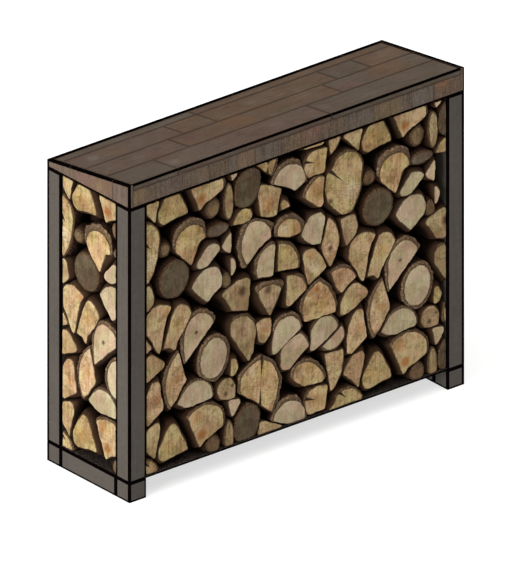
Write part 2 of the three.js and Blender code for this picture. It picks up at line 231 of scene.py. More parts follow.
BUNDLE = [
    round_log(1, "grey", 427, 112, 41, 57, -17, bark=6),
    round_log(1, "dusk", 1034, 85, 20, 25),
    round_log(1, "dun", 1091, 88, 14, 54),
    split(1, "white", (520, 92), (574, 66), (597, 49), (633, 66, 0.5), bark=16),
    split(1, "golden", (645, 74), (704, 74), (711, 120), (713, 149), (675, 153), (652, 147, 0.23), bark=5,
          marks=[(GOLD, 680, 108, 17), (CREAM, 647, 100, 11)], cracks=[165]),
    split(1, "yellow", (838, 108), (843, 95), (858, 88), (905, 97), (942, 100), (937, 122), (921, 150),
          (906, 182), (896, 194), (881, 195), (864, 174), (850, 150), (836, 128),
          marks=[(GOLD, 874, 130, 20)]),
    split(1, "tan", (703, 241), (709, 210), (715, 180), (720, 146), (724, 121), (742, 134, 0.05),
          (769, 200, 0.04), (768, 240), bark=6),
    split(1, "tan", (769, 162), (786, 145), (806, 124), (824, 104), (829, 134), (838, 163), (844, 192),
          (839, 212), (826, 215), (798, 205), (782, 184)),
    split(1, "tan", (984, 93), (1002, 110), (1024, 117), (1067, 136, 0.16), (1044, 204, 0.18),
          (941, 196), bark=7, marks=[(ORANGE, 991, 131, 15), (AMBER, 975, 190, 18)]),
    split(1, "cream", (1101, 150), (1113, 160), (1131, 186), (1127, 200), (1100, 205), (1087, 203)),
    split(2, "golden", (402, 211), (450, 176), (513, 124, 0.06), (536, 200, 0.18), (478, 296, 0.14),
          (403, 258, 0.02), bark=13, marks=[(GOLD, 480, 262, 24), (CREAM, 440, 270, 14)], cracks=[85, 268]),
    split(2, "golden", (589, 203), (602, 186), (616, 174), (632, 165), (694, 162), (704, 170, 0.07),
          (652, 236, 0.08), (601, 238, 0.08), bark=11,
          marks=[(PINK, 606, 214, 16), (GOLD, 655, 222, 20)]),
    split(2, "cream", (546, 250), (552, 239), (578, 234), (603, 256), (648, 285, 0.1), (613, 335),
          (583, 327), (556, 311), (547, 300)),
    split(2, "white", (652, 267), (667, 264), (712, 287), (752, 311, 0.41), (655, 326), bark=6),
    split(2, "cream", (694, 268, 0.38), (773, 298), (764, 312), (730, 289), bark=6),
    split(2, "pink", (784, 218), (799, 213), (836, 238), (855, 250), (851, 275), (845, 300), (843, 330),
          (836, 343), (815, 342), (800, 322), (788, 298), (783, 260), marks=[(AMBER, 831, 282, 13)]),
    split(2, "pink", (909, 408, 0.19), (882, 246), (902, 262), (918, 288), (937, 314), (928, 348),
          (914, 397), bark=11, marks=[(AMBER, 901, 328, 14), (CREAM, 905, 385, 10)]),
    split(2, "white", (903, 249), (930, 232), (956, 227), (1030, 233, 0.42), (922, 272), bark=6),
    split(2, "dun", (1047, 243), (1058, 216), (1080, 209), (1110, 211), (1112, 245), (1094, 274),
          (1070, 277), (1054, 264), marks=[(DARK_HEART, 1077, 230, 7), (DARK_HEART, 1100, 250, 6)]),
    split(2, "yellow", (1094, 277), (1112, 279), (1122, 300), (1112, 328), (1097, 330)),
    split(3, "dun", (431, 303), (447, 330), (455, 378, 0.28), (379, 448), (366, 434), (366, 402),
          bark=7, marks=[(PINK, 412, 395, 18)]),
    split(3, "pink", (460, 388), (468, 352), (478, 347), (488, 343), (498, 352), (511, 368),
          (513, 395), (510, 413), (480, 415), (458, 410), marks=[(AMBER, 486, 382, 10)]),
    split(3, "white", (516, 298), (529, 296), (555, 313), (585, 331), (616, 347, 0.42), (522, 370),
          (515, 335), bark=12),
    split(3, "golden", (629, 364), (672, 361), (700, 363), (742, 361), (743, 376, 0.1), (686, 472, 0.2),
          (622, 400), bark=9, marks=[(ORANGE, 673, 453, 12), (GOLD, 690, 400, 22)]),
    split(3, "tan", (757, 372), (760, 345), (780, 342), (818, 359), (854, 378), (858, 388), (850, 400),
          (832, 418), (812, 430), (797, 428), (777, 413), (767, 395)),
    round_log(3, "white", 1034, 353, 47, 61, -6, bark=12),
    split(4, "pink", (764, 413), (784, 431), (814, 447, 0.22), (726, 487), (731, 466), (748, 427),
          bark=9),
    split(4, "dun", (506, 421), (521, 447), (547, 494, 0.17), (462, 508), (475, 474), bark=20,
          marks=[(PINK, 505, 462, 16), (DARK_HEART, 500, 505, 11)]),
    split(4, "tan", (563, 436), (575, 430), (600, 443), (637, 463, 0.14), (600, 516), (580, 525),
          (566, 524), bark=8),
    split(4, "cream", (934, 368), (1036, 463, 0.13), (985, 508, 0.19), (930, 445, 0.05), bark=12,
          marks=[(DARK_HEART, 972, 450, 6)]),
    split(4, "dun", (1063, 534), (1079, 516), (1091, 499), (1100, 477), (1130, 470), (1156, 462),
          (1163, 510), (1167, 553), (1150, 565), (1120, 565), (1096, 556), (1073, 547),
          marks=[(DARK_HEART, 1136, 526, 13)]),
    split(4, "tan", (643, 472), (675, 490), (710, 508), (697, 539), (682, 563), (668, 577), (640, 583),
          (627, 577), (624, 560), (633, 513), marks=[(AMBER, 653, 560, 13), (CREAM, 665, 520, 16)]),
    split(4, "tan", (786, 510), (802, 485), (818, 460), (830, 434), (841, 424), (848, 444), (857, 492),
          (868, 532), (885, 556), (868, 566), (840, 575), (812, 570), (796, 556),
          marks=[(AMBER, 868, 547, 12)]),
    split(4, "tan", (855, 435), (878, 433), (890, 419), (897, 418), (903, 444), (921, 464), (934, 482),
          (955, 518), (944, 538), (930, 550), (913, 555), (898, 549), (886, 528), (875, 497), (864, 467),
          marks=[(GOLD, 905, 500, 20)]),
    split(5, "cream", (459, 563), (465, 548), (518, 539), (527, 636, 0.22), (461, 590, 0.03), bark=8),
    split(5, "yellow", (534, 549), (607, 538, 0.22), (538, 632), bark=8,
          marks=[(YELLOW, 562, 590, 16), (GOLD, 570, 612, 12)]),
    split(5, "pink", (723, 504), (738, 524), (748, 547), (756, 578, 0.06), (735, 643), (717, 657),
          (709, 632), (703, 605), (691, 575), (699, 546), marks=[(DARK_HEART, 722, 562, 9)]),
    split(5, "dun", (780, 551), (795, 565), (817, 583), (821, 603), (810, 638), (800, 646), (759, 641),
          (764, 612), (771, 580)),
    split(5, "white", (619, 632), (632, 613), (656, 594), (689, 585), (698, 627), (706, 662), (693, 682),
          (668, 685), (648, 678), (634, 660)),
    round_log(5, "dusk", 1081, 577, 13, 19),
    split(5, "cream", (366, 584), (376, 590), (383, 605), (382, 624), (374, 638), (366, 641)),
    split(5, "white", (956, 591), (976, 566), (990, 552), (1011, 529), (1036, 548), (1063, 567),
          (1066, 592), (1059, 614), (1047, 628), (1027, 636), (1005, 635), (984, 626), (968, 610)),
    round_log(5, "grey", 895, 637, 48, 52),
    split(5, "cream", (426, 599), (470, 641), (513, 660), (511, 684, 0.17), (432, 727, 0.17), bark=17,
          marks=[(CREAM, 425, 690, 18)]),
    split(5, "golden", (534, 656), (575, 641), (618, 643, 0.38), (537, 682, 0.05), bark=15,
          marks=[(CREAM, 560, 672, 16), (GOLD, 590, 662, 16)]),
    split(6, "white", (972, 656), (980, 643), (994, 640), (1010, 642), (1026, 653), (1052, 675),
          (1059, 686), (1040, 704), (1014, 705), (1001, 690), (984, 672)),
    split(6, "cream", (1063, 684), (1079, 664), (1096, 655), (1099, 690), (1098, 721), (1079, 702)),
    split(6, "tan", (500, 724), (532, 722), (541, 762), (551, 797), (519, 814), (484, 832), (471, 831),
          (464, 800), (471, 762), (474, 736), marks=[(AMBER, 502, 760, 20), (AMBER, 507, 742, 9)]),
    split(6, "tan", (546, 734), (578, 735), (571, 752), (553, 764), (546, 758), marks=[(GOLD, 552, 748, 9)]),
    split(6, "yellow", (372, 740), (405, 734), (434, 737), (444, 753), (437, 773), (408, 780), (386, 766),
          marks=[(YELLOW, 418, 764, 12)]),
    split(6, "golden", (631, 746), (657, 722), (676, 706), (690, 698), (698, 712), (696, 738),
          (702, 790), (682, 795, 0.12), bark=9, marks=[(GOLD, 672, 748, 18)]),
    split(6, "yellow", (710, 789), (703, 740), (716, 702), (734, 683), (752, 664), (764, 653),
          (797, 651, 0.09), (836, 760, 0.36), (745, 829), (736, 806), bark=6,
          marks=[(DARK_HEART, 723, 706, 9), (CREAM, 800, 715, 24)], cracks=[137]),
    split(6, "golden", (957, 660), (972, 696), (982, 725), (1006, 731, 0.47), (899, 736), (904, 714),
          (930, 686), bark=22, marks=[(YELLOW, 925, 758, 18), (GOLD, 985, 765, 16)]),
    round_log(6, "smoke", 1052, 740, 36, 14),
    round_log(6, "dusk", 862, 736, 15, 16),
]


def linear(code):
    """A linear colour from a six-figure sRGB one."""
    parts = [int(code[k:k + 2], 16) / 255 for k in (0, 2, 4)]
    return [c / 12.92 if c <= 0.04045 else ((c + 0.055) / 1.055) ** 2.4 for c in parts] + [1]


# Materials

def mark_names():
    return [f"mark_{number}" for number in range(1, MOST_MARKS + 1)]


class Nodes:
    """A material's nodes, with short ways to add and join them."""

    def __init__(self, name, roughness, specular=0.2):
        self.material = bpy.data.materials.new(name)
        self.material.use_nodes = True
        self.tree = self.material.node_tree
        self.shader = self.tree.nodes["Principled BSDF"]
        self.shader.inputs["Roughness"].default_value = roughness
        self.shader.inputs["Specular IOR Level"].default_value = specular

    def add(self, kind, inputs=(), **settings):
        node = self.tree.nodes.new(f"ShaderNode{kind}")
        for key, value in settings.items():
            setattr(node, key, value)
        for key, value in dict(inputs).items():
            self.put(node.inputs[key], value)
        return node

    def put(self, socket, value):
        if isinstance(value, bpy.types.NodeSocket):
            self.tree.links.new(value, socket)
        else:
            socket.default_value = value

    def attribute(self, name, output):
        return self.add("Attribute", attribute_name=name).outputs[output]

    def position(self):
        return self.add("TexCoord").outputs["Object"]

    def scaled(self, vector, factors):
        return self.add("VectorMath", {0: vector, 1: factors}, operation="MULTIPLY").outputs[0]

    def math(self, operation, *values):
        return self.add("Math", dict(enumerate(values)), operation=operation).outputs[0]

    def noise(self, vector, scale, detail=3, distortion=0):
        found = {"Vector": vector, "Scale": scale, "Detail": detail, "Distortion": distortion}
        return self.add("TexNoise", found).outputs["Fac"]

    def ramp(self, value, low, high, start=0, stop=1):
        """From start at low to stop at high, and held beyond them."""
        ends = {"Value": value, "From Min": low, "From Max": high, "To Min": start, "To Max": stop}
        return self.add("MapRange", ends, interpolation_type="SMOOTHSTEP").outputs["Result"]

    def mix(self, share, one, other, blend_type="MIX"):
        node = self.add("Mix", data_type="RGBA", blend_type=blend_type)
        for index, value in ((0, share), (6, one), (7, other)):
            self.put(node.inputs[index], value)
        return node.outputs[2]

    def layered(self, colour, layers, blend_type="MIX"):
        """The colour with others laid over it. A layer is its pattern, where in the pattern it starts
        and is strongest, its share there, and its colour."""
        for pattern, low, high, most, code in layers:
            colour = self.mix(self.ramp(pattern, low, high, 0, most), colour, linear(code), blend_type)
        return colour

    def bump(self, height, distance):
        return self.add("Bump", {"Height": height, "Distance": distance, "Strength": 1}).outputs["Normal"]

    def marked(self, colour, place, raggedness):
        """The colour with the mesh's marks laid over it, each strongest at its middle."""
        for name in mark_names():
            spot = self.attribute(name, "Vector")
            radius = self.attribute(f"{name}_colour", "Alpha")
            away = self.add("VectorMath", {0: place, 1: spot}, operation="DISTANCE").outputs["Value"]
            share = self.math("DIVIDE", away, radius)
            frayed = self.math("MULTIPLY", self.math("SUBTRACT", raggedness, 0.5), 1.6)
            share = self.math("ADD", share, frayed)
            strength = self.math("MULTIPLY", self.math("GREATER_THAN", radius, 0), MARK_STRENGTH)
            share = self.math("MULTIPLY", self.ramp(share, 0.35, 1.6, 1, 0), strength)
            colour = self.mix(share, colour, self.attribute(f"{name}_colour", "Color"))
        return colour

    def finish(self, colour, normal=None, roughness=None):
        self.put(self.shader.inputs["Base Color"], colour)
        if normal:
            self.put(self.shader.inputs["Normal"], normal)
        if roughness:
            self.put(self.shader.inputs["Roughness"], roughness)
        return self.material


def sawn_end_material():
    """The sawn end of a log: growth rings and rays round the pith, saw marks, stains, a darker rim
    and cracks darkened with painted shade. The tone's alpha is how much of the grain shows."""
    n = Nodes("sawn_end", 0.8)
    place = n.position()
    grain = n.attribute("grain", "Vector")
    rim = n.attribute("rim", "Fac")
    crack = n.attribute("crack", "Fac")
    wander = n.noise(place, 22, 4)
    flat = n.scaled(grain, (1, 1, 0))
    radius = n.add("VectorMath", {0: flat}, operation="LENGTH").outputs["Value"]
    turns = n.math("MULTIPLY_ADD", radius, 1100, n.math("MULTIPLY", wander, 14))
    rings = n.ramp(n.math("SINE", turns), -1, 1)
    split_grain = n.add("SeparateXYZ", {0: grain})
    angle = n.math("ARCTAN2", split_grain.outputs["Y"], split_grain.outputs["X"])
    along_rays = n.add("CombineXYZ", {0: n.math("MULTIPLY", angle, 9), 1: n.math("MULTIPLY", radius, 24)})
    rays = n.noise(along_rays.outputs[0], 3, 5)
    saw = n.noise(n.scaled(place, (160, 160, 900)), 1, 2)
    hue = n.noise(place, 24, 2)
    drifts = n.noise(place, 15, 3, 0.6)
    blotches = n.noise(place, 48, 3, 0.8)
    strokes = n.noise(n.scaled(place, (140, 140, 13)), 1, 4, 0.6)
    flecks = n.noise(place, 170, 4)

    tone = n.attribute("tone", "Color")
    warm = n.mix(1, tone, linear("ffeade"), "MULTIPLY")
    clean = n.mix(n.ramp(hue, 0.4, 0.6), warm, n.mix(1, tone, linear("faf4db"), "MULTIPLY"))
    clean = n.marked(clean, flat, blotches)
    colour = n.layered(clean, [
        (rays, 0.38, 0.7, 0.5, "a08465"), (rings, 0.35, 1, 0.1, "8f7a5e"),
        (drifts, 0.38, 0.66, 0.6, "b89a7a"), (blotches, 0.48, 0.68, 0.45, "957a5c"),
        (strokes, 0.42, 0.68, 0.36, "8f7456"), (flecks, 0.6, 0.78, 0.3, "7a6248")], "MULTIPLY")
    colour = n.mix(n.attribute("tone", "Alpha"), clean, colour)
    edge = n.math("ADD", rim, n.math("MULTIPLY", n.math("SUBTRACT", flecks, 0.5), 0.08))
    # painted shade: the crack attribute darkens the wood inside each crack to near black
    colour = n.layered(colour, [(edge, 0.96, 1.03, 0.7, "4d3825"), (crack, 0.25, 0.6, 0.92, "1d130c")])

    relief = n.math("ADD", n.math("MULTIPLY", rings, 0.3), n.math("MULTIPLY", rays, 0.9))
    relief = n.math("ADD", relief, n.math("MULTIPLY", saw, 0.5))
    return n.finish(colour, n.bump(relief, 0.0012), n.ramp(rays, 0.3, 0.7, 0.72, 0.88))


def bark_material():
    """Bark: brown where it is cut, paler towards its outside, and darker further in as painted shade."""
    n = Nodes("bark", 0.92, 0.04)
    place = n.position()
    grain = n.attribute("grain", "Vector")
    rim = n.attribute("rim", "Fac")
    behind = n.add("SeparateXYZ", {0: grain}).outputs["Z"]
    long_plates = n.scaled(grain, (1, 1, 0.35))
    plates = n.add("TexVoronoi", {"Vector": long_plates, "Scale": 95}, feature="DISTANCE_TO_EDGE")
    furrows = n.ramp(plates.outputs["Distance"], 0.02, 0.3)
    rough = n.noise(place, 90, 5)
    patches = n.noise(place, 14, 3)
    cut = n.math("ADD", rim, n.math("MULTIPLY", n.math("SUBTRACT", rough, 0.5), 0.9))
    colour = n.mix(n.ramp(cut, 1.05, 1.8), linear("5a4630"), linear("846c52"))
    colour = n.layered(colour, [(patches, 0.4, 0.65, 0.4, "6b5b4c"), (rough, 0.42, 0.7, 0.6, "3f2f22")])
    colour = n.mix(n.ramp(furrows, 0, 1, 0.4, 0), colour, linear("1f1612"))
    # painted shade: the bark darkens with its distance behind the log's end, in two steps to near black
    colour = n.layered(colour, [(behind, 0.002, 0.0065, 0.93, "2b1b12"),
                                (behind, 0.007, 0.022, 0.85, "1b110b")])
    relief = n.math("ADD", furrows, n.math("MULTIPLY", rough, 0.8))
    return n.finish(colour, n.bump(relief, 0.003))


def split_side_material():
    """A split face: fibres along the log, darker further in as painted shade."""
    n = Nodes("split_side", 0.88, 0.04)
    grain = n.attribute("grain", "Vector")
    behind = n.add("SeparateXYZ", {0: grain}).outputs["Z"]
    fibres = n.noise(n.scaled(grain, (260, 260, 14)), 1, 4)
    dirt = n.noise(n.position(), 30, 4)
    tone = n.attribute("tone", "Color")
    colour = n.mix(n.ramp(fibres, 0.3, 0.7, 0.25, 0.8), tone, linear("8b6a48"), "MULTIPLY")
    colour = n.mix(n.ramp(dirt, 0.4, 0.7, 0.3, 0.8), colour, linear("3d2a1b"))
    # painted shade: the split face darkens with its distance behind the log's end
    colour = n.mix(n.ramp(behind, 0.0, 0.005, 0.5, 0.95), colour, linear("2e1c11"))
    colour = n.layered(colour, [(behind, 0.006, 0.02, 0.85, "1b110b")])
    return n.finish(colour, n.bump(fibres, 0.0025))


def painted_timber_material():
    """Matt warm grey paint over planed timber, with the grain just showing."""
    n = Nodes("painted_timber", 0.6)
    place = n.position()
    grain = n.attribute("grain", "Vector")
    streaks = n.noise(n.scaled(grain, (170, 170, 6)), 1, 4)
    patches = n.noise(place, 5, 3)
    scuffs = n.noise(place, 55, 5)
    colour = n.mix(n.ramp(streaks, 0.3, 0.7), linear("423c36"), linear("3b3630"))
    colour = n.layered(colour, [(patches, 0.3, 0.7, 0.6, "46403a"), (scuffs, 0.62, 0.8, 0.35, "504a43")])
    return n.finish(colour, n.bump(streaks, 0.0006), n.ramp(scuffs, 0.3, 0.7, 0.5, 0.7))


def dark_edge_material():
    """The black sealed edge along an arris, rubbed a little."""
    n = Nodes("dark_edge", 0.9, 0)
    place = n.position()
    rubbed = n.noise(place, 80, 5)
    tint = n.noise(place, 9, 3)
    colour = n.mix(n.ramp(tint, 0.3, 0.7), linear("030202"), linear("060404"))
    colour = n.layered(colour, [(rubbed, 0.62, 0.85, 0.5, "100c09")])
    return n.finish(colour, n.bump(rubbed, 0.0004))


def weathered_board_material(name, light, dark, patch, tint, dirt_from, dirt_most):
    """A weathered board: open grain, checks, small knots, patches of two other colours, stains, and
    dirt beside its edges, which starts at a share of the way to the edge and is thickest on it."""
    n = Nodes(f"board_{name}", 0.82)
    place = n.position()
    grain = n.attribute("grain", "Vector")
    edge = n.attribute("edge", "Fac")
    wander = n.noise(place, 7, 3)
    lines = n.add("VectorMath", {0: n.scaled(grain, (150, 150, 7)), 1: wander}, operation="ADD").outputs[0]
    fibres = n.noise(lines, 1, 5, 0.5)
    fine = n.noise(n.scaled(grain, (420, 420, 26)), 1, 4)
    specks = n.noise(place, 330, 3)
    knots = n.add("TexVoronoi", {"Vector": n.scaled(grain, (1, 1, 0.6)), "Scale": 13, "Randomness": 1})
    knot = n.ramp(knots.outputs["Distance"], 0.05, 0.2, 1, 0)
    blotches = n.noise(place, 10, 4)
    tints = n.noise(n.scaled(grain, (26, 26, 14)), 1, 3, 0.5)
    stain_edge = n.noise(place, 38, 4, 0.6)
    colour = n.mix(n.ramp(fibres, 0.3, 0.7), linear(dark), linear(light))
    colour = n.layered(colour, [(blotches, 0.42, 0.62, 0.6, patch), (tints, 0.5, 0.66, 0.35, tint)])
    colour = n.marked(colour, place, stain_edge)
    colour = n.layered(colour, [(fine, 0.45, 0.72, 0.7, "382b23"), (specks, 0.5, 0.75, 0.6, "857566")])
    colour = n.mix(n.math("MULTIPLY", knot, 0.35), colour, linear("3f2c20"))
    dirt = n.math("ADD", edge, n.math("MULTIPLY", n.math("SUBTRACT", blotches, 0.5), 0.7))
    colour = n.layered(colour, [(dirt, dirt_from, 1, dirt_most, "2b1f15")])
    relief = n.math("ADD", fibres, n.math("MULTIPLY", fine, 0.5))
    return n.finish(colour, n.bump(relief, 0.0015))


FASCIA_BOARDS = {
    "grey": ("53493f", "423830", "564b3e", "5a5045"),
    "ash": ("574a3d", "44392f", "5a4a3a", "625140"),
    "pink": ("58493e", "453930", "5f493c", "635347"),
    "brown": ("554637", "42362b", "5a4633", "615039"),
    "ochre": ("5a4a36", "46392c", "624d31", "65543c"),
    "rust": ("5b4839", "47392e", "644a36", "635141"),
}
ROOF_BOARDS = {
    "roof_grey": ("5b5045", "493f35", "615344", "555144"),
    "roof_pink": ("605045", "4e4036", "6a5043", "625849"),
    "roof_brown": ("614d3b", "4e3e2f", "6c4f38", "5d5041"),
}
FLOOR_BOARDS = {"floor_brown": ("3a2d22", "281e16", "33261b", "2d231b")}
PAINTED = painted_timber_material()
DARK_EDGE = dark_edge_material()
BOARD = {}
for palette, *dirt in ((FASCIA_BOARDS, 0.5, 0.22), (ROOF_BOARDS, 0.0, 0.82), (FLOOR_BOARDS, 0.5, 0.5)):
    for name, colours in palette.items():
        BOARD[name] = weathered_board_material(name, *colours, *dirt)
SAWN_END = sawn_end_material()
BARK = bark_material()
SPLIT_SIDE = split_side_material()


# Meshes

def add_piece(name, vertices, faces, materials, nodes):
    """A mesh object in metres from vertices in millimetres. Each face is its corners and the number
    of its material."""
    mesh = bpy.data.meshes.new(name)
    mesh.from_pydata([Vector(v) * MM for v in vertices], [], [corners for corners, _ in faces])
    mesh.polygons.foreach_set("material_index", [number for _, number in faces])
    for material in materials:
        mesh.materials.append(material)
    piece = bpy.data.objects.new(name, mesh)
    bpy.context.scene.collection.objects.link(piece)
    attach(piece, "root")
    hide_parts(*nodes)
    return piece


def add_attribute(mesh, name, kind, values):
    """A value for each vertex, for the materials to read."""
    attribute = mesh.attributes.new(name, kind, "POINT")
    key = {"FLOAT": "value", "FLOAT_VECTOR": "vector", "FLOAT_COLOR": "color"}[kind]
    flat = values if kind == "FLOAT" else [number for value in values for number in value]
    attribute.data.foreach_set(key, flat)


def add_marks(mesh, marks):
    """A mesh's marks, each a colour, a place on the mesh and a radius; none where the radius is 0."""
    none = ("000000", (0, 0, 0), 0)
    for number, name in enumerate(mark_names()):
        code, place, radius = marks[number] if number < len(marks) else none
        count = len(mesh.vertices)
        add_attribute(mesh, name, "FLOAT_VECTOR", [[c * MM for c in place]] * count)
        add_attribute(mesh, f"{name}_colour", "FLOAT_COLOR", [(*linear(code)[:3], radius * MM)] * count)


# Timbers

ALL_ARRISES = {frozenset((f"{one}{i}", f"{other}{j}"))
               for one, other in ("xy", "xz", "yz") for i in (0, 1) for j in (0, 1)}


def arrises(*pairs):
    return {frozenset(pair.split()) for pair in pairs}


def block(name, x, y, low, high, along, material, nodes, dark=ALL_ARRISES, stains=()):
    """A timber between x, y and two heights, each a number or a function of y. Its grain runs along
    one axis. A band beside each arris in dark has a dark finish, and so has each whole side in it.
    Of the stains it keeps those that reach it."""
    heights = [h if callable(h) else (lambda _, value=h: value) for h in (low, high)]

    def cuts(span, axis):
        outer = axis < 2 and span[1] == (RIGHT, BACK)[axis]
        most = span[1] - span[0]
        low_band = min(EDGE_WIDTHS[axis], most * EDGE_MOST)
        high_band = min(OUTER_EDGE_WIDTH, most * OUTER_EDGE_MOST) if outer else low_band
        return [span[0], span[0] + low_band, span[1] - high_band, span[1]]

    points, index = [], {}
    for i, px in enumerate(cuts(x, 0)):
        for j, py in enumerate(cuts(y, 1)):
            for k, pz in enumerate(cuts([height(py) for height in heights], 2)):
                index[i, j, k] = len(points)
                points.append((px, py, pz))

    faces = []
    for axis in range(3):
        first, second = [other for other in range(3) if other != axis]
        for side, layer in ((0, 0), (1, 3)):
            for a in range(3):
                for b in range(3):
                    corners = []
                    for da, db in ((0, 0), (1, 0), (1, 1), (0, 1)):
                        key = [0, 0, 0]
                        key[axis], key[first], key[second] = layer, a + da, b + db
                        corners.append(index[tuple(key)])
                    outward = (side == 1) != (axis == 1)
                    plane = f"{'xyz'[axis]}{side}"
                    near = [f"{'xyz'[first]}{a // 2}"] * (a != 1) + [f"{'xyz'[second]}{b // 2}"] * (b != 1)
                    is_dark = any(frozenset((plane, other)) in dark for other in near + [plane])
                    faces.append((corners if outward else corners[::-1], int(is_dark)))

    piece = add_piece(name, points, faces, [material, DARK_EDGE], nodes)
    round_arrises(piece)
    order = {"x": (1, 2, 0), "y": (0, 2, 1), "z": (0, 1, 2)}[along]
    add_attribute(piece.data, "grain", "FLOAT_VECTOR",
                  [[vertex.co[axis] for axis in order] for vertex in piece.data.vertices])

    def nearness(vertex):
        """How near an edge a vertex is, from 1 on it to 0 at the dirt's width."""
        here = vertex.co / MM
        spans = [x, y, [height(here.y) for height in heights]]
        away = sorted(abs(c - limit) for c, span in zip(here, spans) for limit in span)
        return max(0, 1 - away[1] / DIRT_WIDTH)

    add_attribute(piece.data, "edge", "FLOAT", [nearness(vertex) for vertex in piece.data.vertices])
    spans = [x, y, (heights[0](y[0]), max(heights[1](end) for end in y))]
    add_marks(piece.data, [mark for mark in stains if all(
        span[0] - mark[2] < c < span[1] + mark[2] for c, span in zip(mark[1], spans))])
    return piece


def round_arrises(piece, radius=ARRIS):
    """Rounds the sharp edges of a mesh."""
    shape = bmesh.new()
    shape.from_mesh(piece.data)
    bmesh.ops.remove_doubles(shape, verts=shape.verts, dist=1e-6)
    sharp = [edge for edge in shape.edges
             if len(edge.link_faces) == 2 and edge.calc_face_angle() > SHARP_ANGLE]
    bmesh.ops.bevel(shape, geom=sharp, offset=radius * MM, segments=2, profile=0.5, affect="EDGES",
                    material=-1)
    shape.to_mesh(piece.data)
    shape.free()


def add_frame():
    ends = {"left": (LEFT, LEFT + SECTION), "right": (RIGHT - SECTION, RIGHT)}
    sides = {"front": (FRONT, FRONT + SECTION), "back": (BACK - SECTION, BACK)}
    for end, across in ends.items():
        for side, depth in sides.items():
            foot, post = f"foot_{side}_{end}", f"post_{side}_{end}"
            block(f"{foot}_block", across, depth, 0, FOOT_HEIGHT, "z", PAINTED, [foot])
            block(f"{post}_timber", across, depth, FOOT_HEIGHT, POST_TOP, "z", PAINTED,
                  [post])
        rail = f"base_rail_{end}"
        block(f"{rail}_timber", across, (FRONT + SECTION, BACK - SECTION), 0, FOOT_HEIGHT, "y",
              PAINTED, [rail])


def add_floor():
    half = BEARER_WIDTH / 2
    for side, middle in (("front", -BEARER_FROM_MIDDLE), ("back", BEARER_FROM_MIDDLE)):
        bearer = f"bearer_{side}"
        block(f"{bearer}_timber", (LEFT + SECTION, RIGHT - SECTION), (middle - half, middle + half),
              FOOT_HEIGHT - BEARER_HEIGHT, FOOT_HEIGHT, "x", PAINTED, [bearer], set())

    inner_x, inner_y = RIGHT - SECTION, BACK - SECTION
    corners = [(-inner_x, FRONT), (inner_x, FRONT), (inner_x, -inner_y), (RIGHT, -inner_y),
               (RIGHT, inner_y), (inner_x, inner_y), (inner_x, BACK), (-inner_x, BACK),
               (-inner_x, inner_y), (LEFT, inner_y), (LEFT, -inner_y), (-inner_x, -inner_y)]
    count = len(corners)
    points = [(x, y, z) for z in (FOOT_HEIGHT, FOOT_HEIGHT + FLOOR_THICKNESS) for x, y in corners]
    faces = [(list(range(count))[::-1], 0), (list(range(count, 2 * count)), 0)]
    for k in range(count):
        after = (k + 1) % count
        faces.append(([k, after, after + count, k + count], 0))
    faces[1] = (faces[1][0], 1)
    floor = add_piece("floor_panel", points, faces, [DARK_EDGE, BOARD["floor_brown"]],
                      ["floor_board"])
    round_arrises(floor, FLOOR_ARRIS)
    add_attribute(floor.data, "grain", "FLOAT_VECTOR",
                  [(v.co.y, v.co.z, v.co.x) for v in floor.data.vertices])


# Roof

def roof_top(y):
    return ROOF_FRONT + (ROOF_BACK - ROOF_FRONT) * (y - FRONT) / DEPTH


def under_deck(y):
    return roof_top(y) - DECK_THICKNESS


def board_spans(start, stop, joints, gap):
    """The boards between two ends, each a gap short of every joint."""
    starts = [start] + [joint + gap for joint in joints]
    stops = [joint - gap for joint in joints] + [stop]
    return list(zip(starts, stops))


def add_deck():
    inset = END_FASCIA_THICKNESS + GAP
    stains = [(code, (LEFT + across, FRONT + back, roof_top(FRONT + back)), radius)
              for code, across, back, radius in DECK_STAINS]
    for row, (near, far, joints, finishes) in enumerate(DECK_ROWS, 1):
        spans = board_spans(inset, LENGTH - inset, joints, DECK_GAP)
        for k, (start, stop) in enumerate(spans):
            dark = arrises("y0 z1") if row == 1 else set()
            if k == len(spans) - 1:
                dark |= arrises("x1 z1")
            block(f"deck_board_{row}_{k + 1}", (LEFT + start, LEFT + stop), (FRONT + near, FRONT + far),
                  under_deck, roof_top, "x", BOARD[finishes[k]],
                  [f"deck_board_{row}"], dark, stains)


def add_fascias():
    inset = END_FASCIA_THICKNESS + GAP

    def below_deck(y):
        return under_deck(y) - GAP

    stains = [(code, (LEFT + across, FRONT, up), radius) for code, across, up, radius in FRONT_STAINS]
    for side, joints, finishes, depth, top, dark, seen in (
            ("front", FRONT_JOINTS, FRONT_FINISHES, (FRONT, FRONT + FASCIA_THICKNESS), below_deck,
             arrises("y0 z0"), stains),
            ("back", BACK_JOINTS, BACK_FINISHES, (BACK - FASCIA_THICKNESS, BACK), roof_top,
             arrises("y1 z0", "y1 z1", "z1"), ())):
        for k, (start, stop) in enumerate(board_spans(inset, LENGTH - inset, joints, FASCIA_GAP)):
            block(f"fascia_{side}_{k + 1}", (LEFT + start, LEFT + stop), depth, POST_TOP, top, "z",
                  BOARD[finishes[k]], [f"fascia_{side}"], dark, seen)

    stains = [(code, (LEFT, FRONT + back, up), radius) for code, back, up, radius in END_STAINS]
    for end, outer, x in (("left", "x0", (LEFT, LEFT + END_FASCIA_THICKNESS)),
                          ("right", "x1", (RIGHT - END_FASCIA_THICKNESS, RIGHT))):
        spans = board_spans(0, DEPTH, END_JOINTS, FASCIA_GAP)
        for k, (start, stop) in enumerate(spans):
            dark = arrises(f"{outer} z0", f"{outer} z1", "z1")
            if k == 0:
                dark |= arrises(f"{outer} y0", "y0 z0")
            if k == len(spans) - 1:
                dark |= arrises(f"{outer} y1", "y1 z0")
            block(f"fascia_{end}_{k + 1}", x, (FRONT + start, FRONT + stop), POST_TOP, roof_top, "z",
                  BOARD[END_FINISHES[k]], [f"fascia_{end}"], dark, stains)


